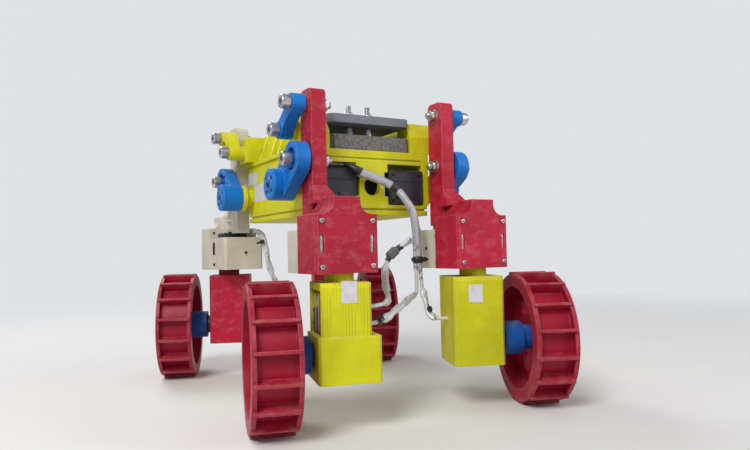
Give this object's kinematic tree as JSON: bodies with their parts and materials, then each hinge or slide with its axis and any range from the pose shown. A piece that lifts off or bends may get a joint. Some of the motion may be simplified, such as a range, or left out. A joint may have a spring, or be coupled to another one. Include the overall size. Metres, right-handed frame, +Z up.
{
  "type": "planetary rover prototype",
  "caption": "Four-wheeled planetary rover prototype with servo-lifted parallelogram legs and individually steered, driven paddle wheels.",
  "frame": {"origin": "on the ground under the middle of the rover", "axes": "+X forward, +Y left, +Z up"},
  "size_m": [0.4546, 0.3172, 0.2823],
  "materials": {
    "yellow_print": "layered print, satin",
    "red_print": "layered print, dusty satin",
    "blue_print": "layered print, satin",
    "white_print": "layered print, matte",
    "black_servo": "moulded, matte",
    "steel": "plated fasteners",
    "braided_sleeve": "white braided cable sleeve",
    "black_tie": "wrapped tape, matte",
    "grey_metal": "mottled, dull"
  },
  "bodies": {
    "chassis": {"base_plate": "yellow_print", "side_wall_left": "yellow_print", "side_wall_right": "yellow_print", "lift_servos": "black_servo", "end_post_rear": "yellow_print", "end_post_front": "yellow_print", "deck_beams": "yellow_print", "upper_frame_left": "yellow_print", "upper_frame_right": "yellow_print", "link_bosses": "yellow_print", "frame_screws": "steel", "grey_blocks": "grey_metal", "clamp_plates": "grey_metal", "clamp_studs": "steel", "cable_sleeve": "braided_sleeve", "cable_ties": "black_tie"},
    "rear_left_crank": {"rear_left_lift_crank": "blue_print"},
    "rear_left_link": {"rear_left_upper_link": "blue_print"},
    "rear_left_leg": {"rear_left_pivot_bolts": "steel", "rear_left_upright": "red_print", "rear_left_housing_half": "white_print", "rear_left_steer_servo": "black_servo", "rear_left_lead": "braided_sleeve", "rear_left_branch": "braided_sleeve"},
    "rear_left_motor": {"rear_left_motor_box": "yellow_print", "rear_left_drive_servo": "black_servo"},
    "rear_left_roller": {"rear_left_hub": "blue_print", "rear_left_wheel": "red_print"},
    "rear_right_crank": {"rear_right_lift_crank": "blue_print"},
    "rear_right_link": {"rear_right_upper_link": "blue_print"},
    "rear_right_leg": {"rear_right_pivot_bolts": "steel", "rear_right_upright": "red_print", "rear_right_housing_half": "white_print", "rear_right_steer_servo": "black_servo", "rear_right_lead": "braided_sleeve"},
    "rear_right_motor": {"rear_right_motor_box": "yellow_print", "rear_right_drive_servo": "black_servo"},
    "rear_right_roller": {"rear_right_hub": "blue_print", "rear_right_wheel": "red_print"},
    "front_left_crank": {"front_left_lift_crank": "blue_print"},
    "front_left_link": {"front_left_upper_link": "yellow_print"},
    "front_left_leg": {"front_left_pivot_bolts": "steel", "front_left_upright": "white_print", "front_left_housing_half": "white_print", "front_left_steer_servo": "black_servo", "front_left_lead": "braided_sleeve"},
    "front_left_motor": {"front_left_motor_box": "red_print", "front_left_drive_servo": "black_servo"},
    "front_left_roller": {"front_left_hub": "blue_print", "front_left_wheel": "red_print"},
    "front_right_crank": {"front_right_lift_crank": "blue_print"},
    "front_right_link": {"front_right_upper_link": "blue_print"},
    "front_right_leg": {"front_right_pivot_bolts": "steel", "front_right_upright": "red_print", "front_right_housing_half": "white_print", "front_right_steer_servo": "black_servo"},
    "front_right_motor": {"front_right_motor_box": "yellow_print", "front_right_drive_servo": "black_servo"},
    "front_right_roller": {"front_right_hub": "blue_print", "front_right_wheel": "red_print"}
  },
  "joints": [
    {"name": "rear_left_lift", "type": "hinge", "parent": "chassis", "child": "rear_left_crank", "pos_m": [-0.07315, 0.0838, 0.20105], "axis": [0, 1, 0], "range_deg": [-68, 3]},
    {"name": "rear_left_link_swing", "type": "hinge", "parent": "chassis", "child": "rear_left_link", "pos_m": [-0.07315, 0.0838, 0.25005], "axis": [0, 1, 0], "range_deg": [-68, 3]},
    {"name": "rear_left_upright_swing", "type": "hinge", "parent": "rear_left_crank", "child": "rear_left_leg", "pos_m": [-0.101, 0.0838, 0.22055], "axis": [0, 1, 0], "range_deg": [-3, 68]},
    {"name": "rear_left_steer", "type": "hinge", "parent": "rear_left_leg", "child": "rear_left_motor", "pos_m": [-0.145, 0.068, 0.11605], "axis": [0, 0, 1], "range_deg": [-30, 60], "deforming": ["rear_left_lead", "rear_left_branch"]},
    {"name": "rear_left_spin", "type": "hinge", "parent": "rear_left_motor", "child": "rear_left_roller", "pos_m": [-0.13051, 0.12209, 0.05885], "axis": [0.2588, 0.9659, 0], "continuous": true},
    {"name": "rear_right_lift", "type": "hinge", "parent": "chassis", "child": "rear_right_crank", "pos_m": [-0.07315, -0.0838, 0.20105], "axis": [0, 1, 0], "range_deg": [-68, 3]},
    {"name": "rear_right_link_swing", "type": "hinge", "parent": "chassis", "child": "rear_right_link", "pos_m": [-0.07315, -0.0838, 0.25005], "axis": [0, 1, 0], "range_deg": [-68, 3]},
    {"name": "rear_right_upright_swing", "type": "hinge", "parent": "rear_right_crank", "child": "rear_right_leg", "pos_m": [-0.101, -0.0838, 0.22055], "axis": [0, 1, 0], "range_deg": [-3, 68]},
    {"name": "rear_right_steer", "type": "hinge", "parent": "rear_right_leg", "child": "rear_right_motor", "pos_m": [-0.145, -0.068, 0.11605], "axis": [0, 0, 1], "range_deg": [-23, 67], "deforming": ["rear_right_lead"]},
    {"name": "rear_right_spin", "type": "hinge", "parent": "rear_right_motor", "child": "rear_right_roller", "pos_m": [-0.16598, -0.11992, 0.05885], "axis": [0.3746, 0.9272, 0], "continuous": true},
    {"name": "front_left_lift", "type": "hinge", "parent": "chassis", "child": "front_left_crank", "pos_m": [0.07315, 0.0838, 0.20105], "axis": [0, -1, 0], "range_deg": [-68, 3]},
    {"name": "front_left_link_swing", "type": "hinge", "parent": "chassis", "child": "front_left_link", "pos_m": [0.07315, 0.0838, 0.25005], "axis": [0, -1, 0], "range_deg": [-68, 3]},
    {"name": "front_left_upright_swing", "type": "hinge", "parent": "front_left_crank", "child": "front_left_leg", "pos_m": [0.101, 0.0838, 0.22055], "axis": [0, -1, 0], "range_deg": [-3, 68]},
    {"name": "front_left_steer", "type": "hinge", "parent": "front_left_leg", "child": "front_left_motor", "pos_m": [0.145, 0.068, 0.11605], "axis": [0, 0, 1], "range_deg": [-23, 67], "deforming": ["front_left_lead"]},
    {"name": "front_left_spin", "type": "hinge", "parent": "front_left_motor", "child": "front_left_roller", "pos_m": [0.16598, 0.11992, 0.05885], "axis": [0.3746, 0.9272, 0], "continuous": true},
    {"name": "front_right_lift", "type": "hinge", "parent": "chassis", "child": "front_right_crank", "pos_m": [0.07315, -0.0838, 0.20105], "axis": [0, -1, 0], "range_deg": [-68, 3]},
    {"name": "front_right_link_swing", "type": "hinge", "parent": "chassis", "child": "front_right_link", "pos_m": [0.07315, -0.0838, 0.25005], "axis": [0, -1, 0], "range_deg": [-68, 3]},
    {"name": "front_right_upright_swing", "type": "hinge", "parent": "front_right_crank", "child": "front_right_leg", "pos_m": [0.101, -0.0838, 0.22055], "axis": [0, -1, 0], "range_deg": [-3, 68]},
    {"name": "front_right_steer", "type": "hinge", "parent": "front_right_leg", "child": "front_right_motor", "pos_m": [0.145, -0.068, 0.11605], "axis": [0, 0, 1], "range_deg": [-25, 65]},
    {"name": "front_right_spin", "type": "hinge", "parent": "front_right_motor", "child": "front_right_roller", "pos_m": [0.12585, -0.12062, 0.05885], "axis": [0.342, 0.9397, 0], "continuous": true}
  ],
  "couplings": [
    {"joint": "rear_left_link_swing", "follows": "rear_left_lift", "ratio": 1},
    {"joint": "rear_left_upright_swing", "follows": "rear_left_lift", "ratio": -1},
    {"joint": "rear_right_link_swing", "follows": "rear_right_lift", "ratio": 1},
    {"joint": "rear_right_upright_swing", "follows": "rear_right_lift", "ratio": -1},
    {"joint": "front_left_link_swing", "follows": "front_left_lift", "ratio": 1},
    {"joint": "front_left_upright_swing", "follows": "front_left_lift", "ratio": -1},
    {"joint": "front_right_link_swing", "follows": "front_right_lift", "ratio": 1},
    {"joint": "front_right_upright_swing", "follows": "front_right_lift", "ratio": -1}
  ]
}
